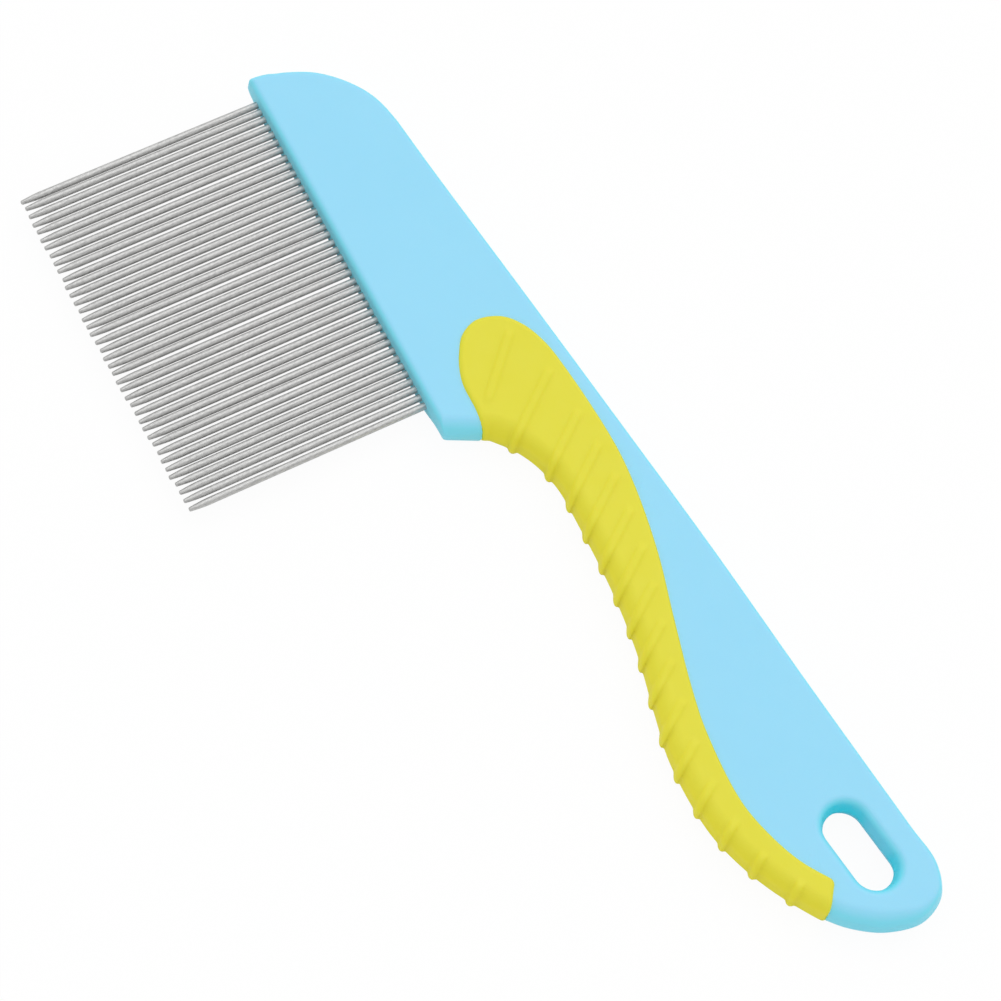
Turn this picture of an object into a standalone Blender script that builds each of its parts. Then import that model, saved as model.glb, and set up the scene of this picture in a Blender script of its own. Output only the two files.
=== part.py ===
"""Flea comb: a moulded handle, a soft overmoulded grip and a single row of steel pins.

The sizes below are in millimetres and degrees, and MM turns them into metres.
Plan frame: X runs along the head's back edge from the head to the hanging end, Y points away from the pins
and Z is up. The first pin's root is the plan's zero point, and Z = 0 is the parting plane, which holds every
pin axis. Along the handle, reach is counted from the chin corner and depth is counted down from the line of
the head's back edge. The back edge itself falls a little below that line toward the hanging end.
"""
import math

import bmesh
import bpy
from mathutils import Matrix, Vector

MM = 0.001

# Pins
PIN_COUNT = 40
PIN_DIAMETER = 1.0
PIN_GAP = 0.4
PIN_EXPOSED = 38.8
PIN_SEAT = 6.5
PIN_POINT = 4.0
PIN_TIP_DIAMETER = 0.44
PIN_TIP_ROUNDING = 0.7
PIN_SIDES = 8
ROW_SLANT = 6.9
SOCKET_CLEARANCE = 0.05
SOCKET_END_GAP = 0.3

# Handle and head
THICKNESS = 5.4
EDGE_RADIUS = 2.1
HEAD_DEPTH = 16.2
HEAD_CROWN = 0.25
HEAD_TIP_MARGIN = 3.5
HEAD_TIP_INSET = 0.4
CHIN_MARGIN = 5.8
CHIN_RUN = 3.8
NECK_REACH = 14.5
NECK_WIDTH = 13.8
BELLY_FROM_END = 28.1
BELLY_WIDTH = 26.15
HANDLE_REACH = 97.65
BACK_DROP = 1.8
SLOT_LENGTH = 12.9
SLOT_WIDTH = 6.25
SLOT_END_WALL = 7.0
SLOT_BACK_WALL = 5.35

# Grip
GRIP_PROUD = 0.5
GRIP_EDGE_RADIUS = 2.6
GRIP_LIP_RADIUS = 0.45
GRIP_WRAP = 1.8
GRIP_CLEARANCE = 0.1
GRIP_START_DEPTH = 17.8
GRIP_START_FALL = 0.3
GRIP_END_DEPTH = 20.0
GRIP_END_SETBACK = 7.6
GRIP_END_BAND = 4.2
GRIP_NECK_BAND = 10.1
GRIP_BELLY_BAND = 5.2
GRIP_LOBE_REACH = 12.3
GRIP_BACK_MARGIN = 2.8
CORE_THICKNESS = 3.0
RIB_COUNT = 16
RIB_RADIUS = 0.75
RIB_PROUD = 0.55
RIB_FACE_PROUD = 0.4
RIB_LEAN = 27.0
RIB_LENGTH = 11.0
RIB_FACE_MARGIN = 1.0
RIB_FIRST_OFFSET = 3.4
RIB_LAST_OFFSET = 1.8
LOBE_RIB_SETBACK = 1.5
LOBE_RIB_DEPTH = 15.2
LOBE_RIB_LENGTH = 9.0

# Curve fineness
SPAN_STEPS = 10
OUTLINE_TOLERANCE = 0.03
ARC_STEPS = 12
EDGE_SEGMENTS = 2
RIB_SEGMENTS = 1
SHARP_ANGLE = 40.0
WELD = 1e-7

HALF = THICKNESS / 2
GRIP_HALF = HALF + GRIP_PROUD
CORE_HALF = CORE_THICKNESS / 2
FLANK_LEAST = 0.1
FACE_LIFT = 0.05
CUT_MARGIN = 3.0
SLANT = math.radians(ROW_SLANT)
PIN_PITCH = PIN_DIAMETER + PIN_GAP
ROW_LENGTH = (PIN_COUNT - 1) * PIN_PITCH
CHIN_X = (ROW_LENGTH + CHIN_MARGIN) * math.cos(SLANT)


def clear_scene():
    for obj in list(bpy.data.objects):
        bpy.data.objects.remove(obj, do_unlink=True)


def new_collection(name):
    collection = bpy.data.collections.new(name)
    bpy.context.scene.collection.children.link(collection)
    return collection


def make_material(name, colour, roughness, metallic=0.0):
    material = bpy.data.materials.new(name)
    material.use_nodes = True
    shader = material.node_tree.nodes["Principled BSDF"]
    shader.inputs["Base Color"].default_value = (*colour, 1.0)
    shader.inputs["Roughness"].default_value = roughness
    shader.inputs["Metallic"].default_value = metallic
    return material


# Plan points and paths


def mix(start, end, share):
    return start + (end - start) * share


def along(reach, depth):
    """Plan point from its reach past the chin corner and its depth below the back edge."""
    return Vector((CHIN_X + reach, HEAD_DEPTH - depth))


def on_row(distance):
    """Plan point on the line of pin roots, counted from the first pin."""
    return Vector((distance * math.cos(SLANT), -distance * math.sin(SLANT)))


def smooth(points, steps=SPAN_STEPS):
    """Centripetal Catmull-Rom curve through the points, sampled evenly in each span."""
    padded = [2 * points[0] - points[1]] + list(points) + [2 * points[-1] - points[-2]]
    path = []
    for before, start, end, after in zip(padded, padded[1:], padded[2:], padded[3:]):
        lead, span, trail = (math.sqrt(step.length) for step in (start - before, end - start, after - end))
        leaving = (end - start) + span * ((start - before) / lead - (end - before) / (lead + span))
        arriving = (end - start) + span * ((after - end) / trail - (after - start) / (span + trail))
        for step in range(steps):
            t = step / steps
            path.append(start * (1 - 3 * t ** 2 + 2 * t ** 3) + end * (3 * t ** 2 - 2 * t ** 3)
                        + leaving * (t - 2 * t ** 2 + t ** 3) + arriving * (t ** 3 - t ** 2))
    path.append(points[-1].copy())
    return path


def thin(points, tolerance=OUTLINE_TOLERANCE):
    """Drop the samples that lie within the tolerance of a chord, so straight runs stay light."""
    if len(points) < 3:
        return points
    first, last = points[0], points[-1]
    chord = (last - first).normalized()
    offsets = [abs(chord.cross(point - first)) for point in points]
    widest = max(range(len(points)), key=offsets.__getitem__)
    if offsets[widest] <= tolerance:
        return [first, last]
    return thin(points[:widest + 1], tolerance)[:-1] + thin(points[widest:], tolerance)


def moved_left(points, distance):
    """Path moved to the left of its direction of travel, mitred at its turns."""
    moved = []
    for index, point in enumerate(points):
        before = points[max(index - 1, 0)]
        after = points[min(index + 1, len(points) - 1)]
        steps = [step for step in (point - before, after - point) if step.length]
        sides = [Vector((-step.y, step.x)).normalized() for step in steps]
        normal = sum(sides, Vector((0, 0))).normalized()
        moved.append(point + normal * distance / normal.dot(sides[0]))
    return moved


BELLY_REACH = HANDLE_REACH - BELLY_FROM_END
GRIP_END_REACH = HANDLE_REACH - GRIP_END_SETBACK

# Shapes of the outline as shares of the sizes above
# From the chin's run to the neck: along the handle and in width
CHIN_TO_NECK = (0.41, 0.69)
# From neck to belly: along the handle, in width, and in the narrowing of the grip's band
NECK_TO_BELLY = ((0.0, 0.0, 0.0), (0.13, 0.045, 0.18), (0.32, 0.19, 0.52), (0.5, 0.4, 0.82),
                 (0.68, 0.7, 0.9), (0.8, 0.885, 0.88), (1.0, 1.0, 1.0))
# From belly to the end of the grip: along the handle and in width
BELLY_TO_END = ((0.31, 0.1), (0.58, 0.34), (0.84, 0.72))
# Round the hanging end: of the grip's setback from the end, and of the depth from back edge to grip
HANGING_END = ((0.62, 0.87), (0.22, 0.65), (0.0, 0.39), (0.22, 0.12), (0.84, 0.0), (1.6, 0.0))
# Along the back edge, from the hanging end to the head: along the edge and of its drop
BACK_EDGE = ((0.75, 0.76), (0.5, 0.31), (0.28, 0.14), (0.0, 0.0))
# Along the head: where the back edge starts, then the place and height of its rise and of the crown
BACK_EDGE_START = 0.77
HEAD_RISE = (0.4, 0.33)
HEAD_TOP = (0.235, 1.0)
# From the crown of the head to its tip: along and up
CROWN_TO_TIP = ((1.0, 1.0), (0.685, 0.955), (0.43, 0.818), (0.216, 0.613), (0.078, 0.372), (0.018, 0.21))
# Round the grip's lobe: of its reach before the chin, and of the depth from its top to the start of the grip
LOBE = ((-0.08, 0.0), (0.31, 0.01), (0.64, 0.085), (0.87, 0.22), (1.0, 0.45), (0.93, 0.65), (0.77, 0.78),
        (0.59, 0.88), (0.4, 0.947), (0.0, 1.0))
# Along a rib: where it stands highest on the face, and how much of the lobe's own rib fades out at each end
RIB_CREST = 0.45
LOBE_RIB_FADE = 0.3


def neck_to_belly():
    return [along(mix(NECK_REACH, BELLY_REACH, share), mix(NECK_WIDTH, BELLY_WIDTH, widening))
            for share, widening, _ in NECK_TO_BELLY]


def belly_to_end():
    return [along(mix(BELLY_REACH, GRIP_END_REACH, share), mix(BELLY_WIDTH, GRIP_END_DEPTH, rise))
            for share, rise in BELLY_TO_END]


def chin_corner():
    return on_row(ROW_LENGTH + CHIN_MARGIN)


def concave_edge():
    """Outer edge of the grip, from the chin to the hanging end."""
    start = along(CHIN_RUN, GRIP_START_DEPTH)
    share, narrowing = CHIN_TO_NECK
    neck_in = along(mix(CHIN_RUN, NECK_REACH, share), mix(GRIP_START_DEPTH, NECK_WIDTH, narrowing))
    return [start, neck_in, *neck_to_belly(), *belly_to_end(), along(GRIP_END_REACH, GRIP_END_DEPTH)]


def hanging_end():
    """Rounded end past the grip, back to the edge opposite the pins."""
    return [along(HANDLE_REACH - GRIP_END_SETBACK * setback, mix(BACK_DROP, GRIP_END_DEPTH, depth))
            for setback, depth in HANGING_END]


def head_tip():
    return on_row(-HEAD_TIP_MARGIN) + Vector((0, HEAD_TIP_INSET))


def back_edge():
    """Edge opposite the pins, from the hanging end to the straight edge of the head."""
    start = Vector((CHIN_X * BACK_EDGE_START, HEAD_DEPTH))
    end = hanging_end()[-1]
    return [Vector((mix(start.x, end.x, share), mix(start.y, end.y, drop))) for share, drop in BACK_EDGE]


def head_top():
    """Rounded top of the head, down to the straight end above the head's tip."""
    rise, crown = (Vector((CHIN_X * share, HEAD_DEPTH + HEAD_CROWN * height))
                   for share, height in (HEAD_RISE, HEAD_TOP))
    tip = head_tip()
    fall = [Vector((mix(tip.x, crown.x, run), mix(tip.y, crown.y, climb))) for run, climb in CROWN_TO_TIP]
    return [rise, *fall]


def handle_outline():
    """Closed outline of the whole handle in plan, anticlockwise from the chin corner."""
    sweep = smooth(concave_edge() + hanging_end() + back_edge() + head_top())
    return [chin_corner()] + thin(sweep) + [head_tip()]


def slot_outline():
    radius = SLOT_WIDTH / 2
    centre = along(HANDLE_REACH - SLOT_END_WALL - SLOT_LENGTH / 2, BACK_DROP + SLOT_BACK_WALL + radius)
    half_straight = SLOT_LENGTH / 2 - radius
    points = []
    for side in (1, -1):
        for step in range(ARC_STEPS + 1):
            angle = math.pi * (step / ARC_STEPS - 0.5)
            arm = Vector((half_straight + radius * math.cos(angle), radius * math.sin(angle)))
            points.append(centre + side * arm)
    return points


def grip_face():
    """Edge of the grip on the blue face, from the hanging end to the chin, past the outline at both ends."""
    end = along(GRIP_END_REACH, GRIP_END_DEPTH)
    end_run = Vector((1, -1)).normalized()
    end_corner = end - end_run * GRIP_END_BAND
    tail = [point + Vector((0, GRIP_BELLY_BAND)) for point in belly_to_end()[:2]]
    upper = [point + Vector((0, mix(GRIP_NECK_BAND, GRIP_BELLY_BAND, narrowing)))
             for point, (_, _, narrowing) in zip(neck_to_belly(), NECK_TO_BELLY)]
    lobe = [along(-GRIP_LOBE_REACH * share, mix(GRIP_BACK_MARGIN, GRIP_START_DEPTH, depth))
            for share, depth in LOBE]
    past_chin = along(CHIN_RUN + GRIP_WRAP, GRIP_START_DEPTH + GRIP_START_FALL)
    face = smooth([end_corner, *reversed(tail), *reversed(upper), *lobe, past_chin])
    return thin([end + end_run * CUT_MARGIN] + face)


def grip_patch():
    """Closed plan of the grip: its edge on the face, closed again outside the concave edge."""
    outside = [point - Vector((0, GRIP_WRAP + CUT_MARGIN)) for point in concave_edge()[1:-1]]
    return grip_face() + outside


def core_plan():
    """Closed plan of the core under the grip: the concave edge moved in, closed past the back edge."""
    edge = thin(smooth(concave_edge() + hanging_end()[:2]))
    line = moved_left([chin_corner()] + edge, GRIP_WRAP)
    far_y = HEAD_DEPTH + CUT_MARGIN
    far_x = line[0].x - GRIP_LOBE_REACH - CUT_MARGIN
    return line + [Vector((line[-1].x, far_y)), Vector((far_x, far_y)), Vector((far_x, line[0].y))]


# Solids


def mesh_object(name, mesh, collection, parent, cutter=False):
    obj = bpy.data.objects.new(name, mesh)
    collection.objects.link(obj)
    obj.parent = parent
    if cutter:
        obj.hide_render = True
        obj.display_type = "WIRE"
    return obj


def curve_to_mesh(curve, name):
    """Mesh of a curve, with its loose caps welded."""
    holder = bpy.data.objects.new(name, curve)
    bpy.context.scene.collection.objects.link(holder)
    evaluated = holder.evaluated_get(bpy.context.evaluated_depsgraph_get())
    mesh = bpy.data.meshes.new_from_object(evaluated)
    mesh.name = name
    bpy.data.objects.remove(holder, do_unlink=True)
    bpy.data.curves.remove(curve)
    bm = bmesh.new()
    bm.from_mesh(mesh)
    bmesh.ops.remove_doubles(bm, verts=bm.verts, dist=WELD)
    bm.to_mesh(mesh)
    bm.free()
    return mesh


def plate_mesh(name, outlines, half, radius=0.0, grow=0.0):
    """Flat plate of the closed outlines, with its rims rounded inside the outline."""
    radius = min(radius, half - FLANK_LEAST)
    curve = bpy.data.curves.new(name, "CURVE")
    curve.dimensions = "2D"
    curve.fill_mode = "BOTH"
    curve.extrude = (half - radius) * MM
    curve.bevel_depth = radius * MM
    curve.bevel_resolution = EDGE_SEGMENTS
    curve.offset = (grow - radius) * MM
    for outline in outlines:
        spline = curve.splines.new("POLY")
        spline.points.add(len(outline) - 1)
        for target, point in zip(spline.points, outline):
            target.co = (point.x * MM, point.y * MM, 0, 1)
        spline.use_cyclic_u = True
    return curve_to_mesh(curve, name)


def turned_mesh(name, profile):
    """Solid turned round Z from a profile of (radius, height) points that runs down its outer side."""
    mesh = bpy.data.meshes.new(name + "_profile")
    bm = bmesh.new()
    corners = [bm.verts.new((radius * MM, 0, height * MM)) for radius, height in profile]
    for upper, lower in zip(corners, corners[1:]):
        bm.edges.new((upper, lower))
    bm.to_mesh(mesh)
    bm.free()
    holder = bpy.data.objects.new(name, mesh)
    bpy.context.scene.collection.objects.link(holder)
    screw = holder.modifiers.new("turn", "SCREW")
    screw.steps = PIN_SIDES
    screw.render_steps = PIN_SIDES
    screw.use_merge_vertices = True
    screw.merge_threshold = WELD
    evaluated = holder.evaluated_get(bpy.context.evaluated_depsgraph_get())
    solid = bpy.data.meshes.new_from_object(evaluated)
    solid.name = name
    bpy.data.objects.remove(holder, do_unlink=True)
    bpy.data.meshes.remove(mesh)
    return solid


def joined(name, pieces):
    """One mesh of several (mesh, matrix) pieces."""
    total = bmesh.new()
    for mesh, matrix in pieces:
        copy = mesh.copy()
        copy.transform(matrix)
        total.from_mesh(copy)
        bpy.data.meshes.remove(copy)
    mesh = bpy.data.meshes.new(name)
    total.to_mesh(mesh)
    total.free()
    return mesh


def boolean(obj, operation, other):
    modifier = obj.modifiers.new(other.name, "BOOLEAN")
    modifier.operation = operation
    modifier.solver = "EXACT"
    modifier.object = other


def finish(obj, material):
    obj.data.materials.clear()
    obj.data.materials.append(material)
    obj.data.shade_smooth()
    obj.data.set_sharp_from_angle(angle=math.radians(SHARP_ANGLE))


# Pins and their sockets


def pin_places():
    """Each pin's place in the plan: its root on the row, its axis square to the row."""
    lay_down = Matrix.Rotation(math.pi / 2, 4, "X")
    turn = Matrix.Rotation(-SLANT, 4, "Z")
    for index in range(PIN_COUNT):
        root = on_row(index * PIN_PITCH) * MM
        yield Matrix.Translation(root.to_3d()) @ turn @ lay_down


def pin_mesh():
    radius = PIN_DIAMETER / 2
    tip = PIN_TIP_DIAMETER / 2
    point = [(0, PIN_EXPOSED), (tip * PIN_TIP_ROUNDING, PIN_EXPOSED - tip * (1 - PIN_TIP_ROUNDING)),
             (tip, PIN_EXPOSED - tip)]
    shank = [(radius, PIN_EXPOSED - PIN_POINT), (radius, -PIN_SEAT), (0, -PIN_SEAT)]
    return turned_mesh("pin", point + shank)


def socket_mesh():
    radius = PIN_DIAMETER / 2 + SOCKET_CLEARANCE
    floor = -PIN_SEAT - SOCKET_END_GAP
    bore = turned_mesh("bore", [(0, CUT_MARGIN), (radius, CUT_MARGIN), (radius, floor), (0, floor)])
    return joined("sockets", [(bore, place) for place in pin_places()])


def make_pins(collection, plan, steel):
    mesh = pin_mesh()
    for number, place in enumerate(pin_places(), 1):
        pin = mesh_object(f"pin_{number:02d}", mesh, collection, plan)
        pin.matrix_local = place
    finish(pin, steel)


# Grip ribs


def walk(path, distance):
    """Point and unit direction at a distance along a path."""
    for start, end in zip(path, path[1:]):
        step = end - start
        if distance <= step.length:
            return start + step.normalized() * distance, step.normalized()
        distance -= step.length
    return path[-1].copy(), (path[-1] - path[-2]).normalized()


def distance_to(path, origin, direction):
    """Distance from a point along a direction to a path."""
    for start, end in zip(path, path[1:]):
        step = end - start
        slope = direction.cross(step)
        if slope:
            distance = (start - origin).cross(step) / slope
            share = (start - origin).cross(direction) / slope
            if distance > 0 and 0 <= share <= 1:
                return distance
    return math.inf


def rib_profile(length):
    """(inset, height) points of a rib's centre line, from its flush far end to the parting plane."""
    flush = GRIP_HALF - RIB_RADIUS
    fillet = min(GRIP_EDGE_RADIUS, GRIP_HALF - FLANK_LEAST)
    arm = fillet - RIB_RADIUS + RIB_PROUD
    length = max(length, fillet + RIB_RADIUS)
    points = [(length, flush - FACE_LIFT), (mix(fillet, length, RIB_CREST), flush + RIB_FACE_PROUD)]
    for degrees in (90, 60, 30, 0):
        angle = math.radians(degrees)
        points.append((fillet - arm * math.cos(angle), GRIP_HALF - fillet + arm * math.sin(angle)))
    return points


def lobe_rib_profile():
    """(inset, height) points of the rib that lies on the lobe alone, sunk in flush at both ends."""
    flush = GRIP_HALF - RIB_RADIUS
    fade = LOBE_RIB_LENGTH * LOBE_RIB_FADE
    return [(0, flush - FACE_LIFT), (fade, flush + RIB_FACE_PROUD),
            (LOBE_RIB_LENGTH - fade, flush + RIB_FACE_PROUD), (LOBE_RIB_LENGTH, flush - FACE_LIFT)]


def rib_line(foot, run, profile):
    """Centre line of a rib that starts over a plan point and moves by the run for each unit of inset."""
    return [(foot + run * inset).to_3d() + Vector((0, 0, height)) for inset, height in profile]


def rib_mesh():
    """All ribs as one mesh: each leans across the front face, rounds the edge and returns on the back."""
    edge = smooth(concave_edge())
    face = grip_face()
    total = sum((end - start).length for start, end in zip(edge, edge[1:]))
    lean = math.radians(RIB_LEAN)
    inward = Vector((-math.sin(lean), math.cos(lean)))
    lines = []
    for index in range(RIB_COUNT):
        share = index / (RIB_COUNT - 1)
        foot, direction = walk(edge, mix(RIB_FIRST_OFFSET, total - RIB_LAST_OFFSET, share))
        square = inward.dot(Vector((-direction.y, direction.x)))
        length = min(RIB_LENGTH, distance_to(face, foot, inward) - RIB_FACE_MARGIN) * square
        front = rib_profile(length)
        back = [(inset, -height) for inset, height in reversed(front)]
        lines.append(rib_line(foot, inward / square, front + back))
    lobe_foot = along(-LOBE_RIB_SETBACK, LOBE_RIB_DEPTH)
    for side in (1, -1):
        profile = [(inset, side * height) for inset, height in lobe_rib_profile()]
        lines.append(rib_line(lobe_foot, inward, profile))
    return joined("ribs", [(tube_mesh("rib", line, RIB_RADIUS), Matrix()) for line in lines])


def tube_mesh(name, places, radius):
    curve = bpy.data.curves.new(name, "CURVE")
    curve.dimensions = "3D"
    curve.bevel_depth = radius * MM
    curve.bevel_resolution = RIB_SEGMENTS
    curve.use_fill_caps = True
    spline = curve.splines.new("POLY")
    spline.points.add(len(places) - 1)
    for target, place in zip(spline.points, places):
        target.co = (*(place * MM), 1)
    return curve_to_mesh(curve, name)


# Pieces


def make_handle(collection, cutters, plan, material):
    plate = plate_mesh("handle_body", [handle_outline(), slot_outline()], HALF, EDGE_RADIUS)
    handle = mesh_object("handle_body", plate, collection, plan)
    recess_plate = plate_mesh("grip_recess", [grip_patch()], HALF + CUT_MARGIN, grow=GRIP_CLEARANCE)
    recess = mesh_object("grip_recess", recess_plate, cutters, plan, cutter=True)
    core = mesh_object("core", plate_mesh("core", [core_plan()], CORE_HALF), cutters, plan, cutter=True)
    boolean(recess, "DIFFERENCE", core)
    boolean(handle, "DIFFERENCE", recess)
    sockets = mesh_object("sockets", socket_mesh(), cutters, plan, cutter=True)
    boolean(handle, "DIFFERENCE", sockets)
    finish(handle, material)


def make_grip(collection, cutters, plan, material):
    section = plate_mesh("soft_grip", [handle_outline()], GRIP_HALF + FACE_LIFT, GRIP_EDGE_RADIUS)
    grip = mesh_object("soft_grip", section, collection, plan)
    patch_plate = plate_mesh("grip_patch", [grip_patch()], GRIP_HALF, GRIP_LIP_RADIUS)
    patch = mesh_object("grip_patch", patch_plate, cutters, plan, cutter=True)
    boolean(grip, "INTERSECT", patch)
    seat_plate = plate_mesh("core_seat", [core_plan()], CORE_HALF + GRIP_CLEARANCE, grow=GRIP_CLEARANCE)
    seat = mesh_object("core_seat", seat_plate, cutters, plan, cutter=True)
    boolean(grip, "DIFFERENCE", seat)
    ribs = mesh_object("ribs", rib_mesh(), cutters, plan, cutter=True)
    boolean(grip, "UNION", ribs)
    finish(grip, material)


def stand_on_origin(plan, collection):
    """Put the middle of the part's footprint, at its lowest point, on the origin."""
    depsgraph = bpy.context.evaluated_depsgraph_get()
    corners = []
    for obj in collection.objects:
        if obj.type == "MESH":
            evaluated = obj.evaluated_get(depsgraph)
            corners += [evaluated.matrix_world @ Vector(corner) for corner in evaluated.bound_box]
    low = Vector(min(corner[axis] for corner in corners) for axis in range(3))
    high = Vector(max(corner[axis] for corner in corners) for axis in range(3))
    plan.location -= Vector(((low.x + high.x) / 2, (low.y + high.y) / 2, low.z))


def main():
    clear_scene()
    parts = new_collection("flea_comb")
    cutters = new_collection("cutters")
    blue = make_material("blue_moulding", (0.328, 0.723, 0.947), 0.42)
    yellow = make_material("yellow_soft_grip", (0.761, 0.716, 0.073), 0.62)
    steel = make_material("pin_steel", (0.62, 0.62, 0.61), 0.3, 1.0)
    plan = bpy.data.objects.new("plan", None)
    parts.objects.link(plan)
    make_handle(parts, cutters, plan, blue)
    make_grip(parts, cutters, plan, yellow)
    make_pins(parts, plan, steel)
    stand_on_origin(plan, parts)


main()
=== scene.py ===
"""Looks of the flea comb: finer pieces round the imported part, with their materials, floor, light and camera.

Sizes are in millimetres and degrees, in the part's plan frame: X runs along the head's back edge toward the
hanging end, Y points away from the pins, Z is up, and zero is the first pin's root on the parting plane.
Along the handle, reach is counted from the chin corner and depth down from the line of the head's back edge.
"""

import math

import bmesh
import bpy
import numpy as np
from mathutils import Matrix, Vector


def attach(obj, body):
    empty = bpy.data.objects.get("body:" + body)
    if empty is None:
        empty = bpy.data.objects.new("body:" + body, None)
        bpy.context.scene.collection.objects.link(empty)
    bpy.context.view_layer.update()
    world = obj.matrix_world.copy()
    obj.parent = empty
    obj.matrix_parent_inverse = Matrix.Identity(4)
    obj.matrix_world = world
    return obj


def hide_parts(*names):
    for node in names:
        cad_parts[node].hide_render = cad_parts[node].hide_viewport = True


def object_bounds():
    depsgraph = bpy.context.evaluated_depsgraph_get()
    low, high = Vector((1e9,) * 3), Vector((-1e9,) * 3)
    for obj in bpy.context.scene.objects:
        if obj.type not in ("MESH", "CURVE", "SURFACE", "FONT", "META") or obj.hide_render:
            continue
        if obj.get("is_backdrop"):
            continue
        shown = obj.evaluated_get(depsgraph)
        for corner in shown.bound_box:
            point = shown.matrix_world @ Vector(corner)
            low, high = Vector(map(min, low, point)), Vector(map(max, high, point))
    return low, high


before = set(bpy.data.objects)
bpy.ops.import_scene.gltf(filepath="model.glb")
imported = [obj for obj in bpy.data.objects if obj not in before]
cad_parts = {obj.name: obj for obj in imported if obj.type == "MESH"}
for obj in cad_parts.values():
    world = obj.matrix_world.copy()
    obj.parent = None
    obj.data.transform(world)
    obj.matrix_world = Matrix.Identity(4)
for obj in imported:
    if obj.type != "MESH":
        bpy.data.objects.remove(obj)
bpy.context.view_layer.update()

MM = 0.001
# Place of the plan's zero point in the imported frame
PLAN_ORIGIN = Vector((-76.2195, 14.3244, 3.6495))

# Pins
PIN_COUNT = 40
PIN_DIAMETER = 1.1
PIN_PITCH = 1.4
PIN_EXPOSED = 38.8
PIN_SEAT = 6.5
PIN_POINT = 3.1
PIN_TIP_DIAMETER = 0.66
PIN_TIP_ROUND = 0.16
PIN_MIDDLE_EXTRA = 0.35
PIN_SIDES = 20
PIN_RING_STEP = 4.0
PIN_POINT_RINGS = 7
PIN_POINT_POWER = 1.5
PIN_CAP_RINGS = 3
ROW_SLANT = 6.9
# Largest unevenness of single pins: in length, aside at the root, half-way and at the tip, and up at the tip
PIN_LENGTH_SCATTER = 0.15
PIN_ROOT_SCATTER = 0.1
PIN_BOW_SCATTER = 0.015
PIN_LEAN_SCATTER = 0.03
PIN_RISE_SCATTER = 0.1
SCATTER_SEED = 5

# Handle and head
THICKNESS = 5.4
DRAFT = 14.0
EDGE_PROUD = 0.03
EDGE_RADIUS = 0.65
SLOT_EDGE_RADIUS = 1.0
# Walls on the pins' side and the hand's side, and where they turn into the others: by the distance from the
# row of pins, by Y, and by X at the head's tip and chin
PIN_SIDE_DRAFT = 1.5
PIN_SIDE_EDGE_RADIUS = 1.0
PIN_SIDE_FADE = (1.5, 5.0)
HAND_SIDE_EDGE_RADIUS = 2.2
HAND_SIDE_PROUD = 0.2
HAND_SIDE_FADE = (3.0, 12.0)
HEAD_TIP_FADE = (-4.0, 3.0)
CHIN_FADE = (53.0, 58.0)
# Outline
HEAD_DEPTH = 16.2
HEAD_CROWN = 0.25
HEAD_TIP_MARGIN = 3.48
HEAD_TIP_INSET = 0.28
HEAD_TIP_RADIUS = 0.6
CHIN_MARGIN = 5.8
CHIN_DROP = 0.1
CHIN_RADIUS = 1.1
CHIN_RUN = 3.8
NECK_REACH = 14.5
NECK_WIDTH = 13.55
BELLY_FROM_END = 28.1
BELLY_WIDTH = 26.15
HANDLE_REACH = 97.65
BACK_DROP = 1.8
SLOT_LENGTH = 13.05
SLOT_WIDTH = 5.97
SLOT_END_WALL = 6.85
SLOT_BACK_WALL = 5.47

# Grip
GRIP_PROUD = 0.4
GRIP_EDGE_RADIUS = 2.2
GRIP_LIP_RADIUS = 0.8
GRIP_LIP_SPREAD = 0.25
GRIP_WRAP = 1.8
# Draft under the chin, where the grip lies flush with the handle, and the reach over which it fades
GRIP_START_DRAFT = 13.0
GRIP_DRAFT_FADE = (3.5, 8.5)
GRIP_START_DEPTH = 17.8
GRIP_START_RUN = 1.3
GRIP_START_FALL = 1.7
GRIP_END_DEPTH = 20.0
GRIP_END_SETBACK = 7.6
GRIP_END_TRIM = 0.4
GRIP_END_BAND = 4.6
GRIP_END_LEAN = 44.0
GRIP_END_CORNER = 0.9
GRIP_TAIL_BANDS = (4.95, 4.8)
GRIP_NECK_BAND = 9.85
GRIP_BELLY_BAND = 5.2
GRIP_LOBE_REACH = 12.3
GRIP_BACK_MARGIN = 2.8
CORE_THICKNESS = 3.0
# Ribs, taller on the edge than on the face, and leaning less from the first to the last
RIB_EDGE_HEIGHT = 0.5
RIB_FACE_HEIGHT = 0.24
RIB_EDGE_REACH = 0.2
RIB_FACE_REACH = 2.8
RIB_EDGE_POWER = 2.2
RIB_FACE_POWER = 4.0
RIB_HALF_WIDTH = 0.75
RIB_FILLET = 0.015
RIB_FIRST_LEAN = 31.5
RIB_LAST_LEAN = 24.0
RIB_LENGTH = 13.6
RIB_FADE = 1.6
RIB_FACE_MARGIN = 2.0
# Feet of the ribs along the handle, as reach past the chin corner
RIB_FEET = (6.6, 12.9, 18.4, 23.7, 28.9, 34.1, 39.2, 44.2, 49.6, 55.2, 60.9, 66.8, 72.8, 78.6, 84.8, 89.2)
LOBE_RIB_SETBACK = 0.05
LOBE_RIB_DEPTH = 16.3
LOBE_RIB_LEAN = 38.7
LOBE_RIB_LENGTH = 13.4

# Fineness
SPAN_STEPS = 12
CORNER_STEPS = 8
SKIN_STEP = 0.2
SKIN_MARGIN = 1.1
SETTLE_ROUNDS = 2
HANDLE_SHARE = 0.15
GRIP_SHARE = 0.35
CUT_MARGIN = 3.0
SHARP_ANGLE = 35.0

HALF = THICKNESS / 2
GRIP_HALF = HALF + GRIP_PROUD
CORE_HALF = CORE_THICKNESS / 2
SLANT = math.radians(ROW_SLANT)
ROW_LENGTH = (PIN_COUNT - 1) * PIN_PITCH
CHIN_X = (ROW_LENGTH + CHIN_MARGIN) * math.cos(SLANT)
BELLY_REACH = HANDLE_REACH - BELLY_FROM_END
GRIP_END_REACH = HANDLE_REACH - GRIP_END_SETBACK

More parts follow.
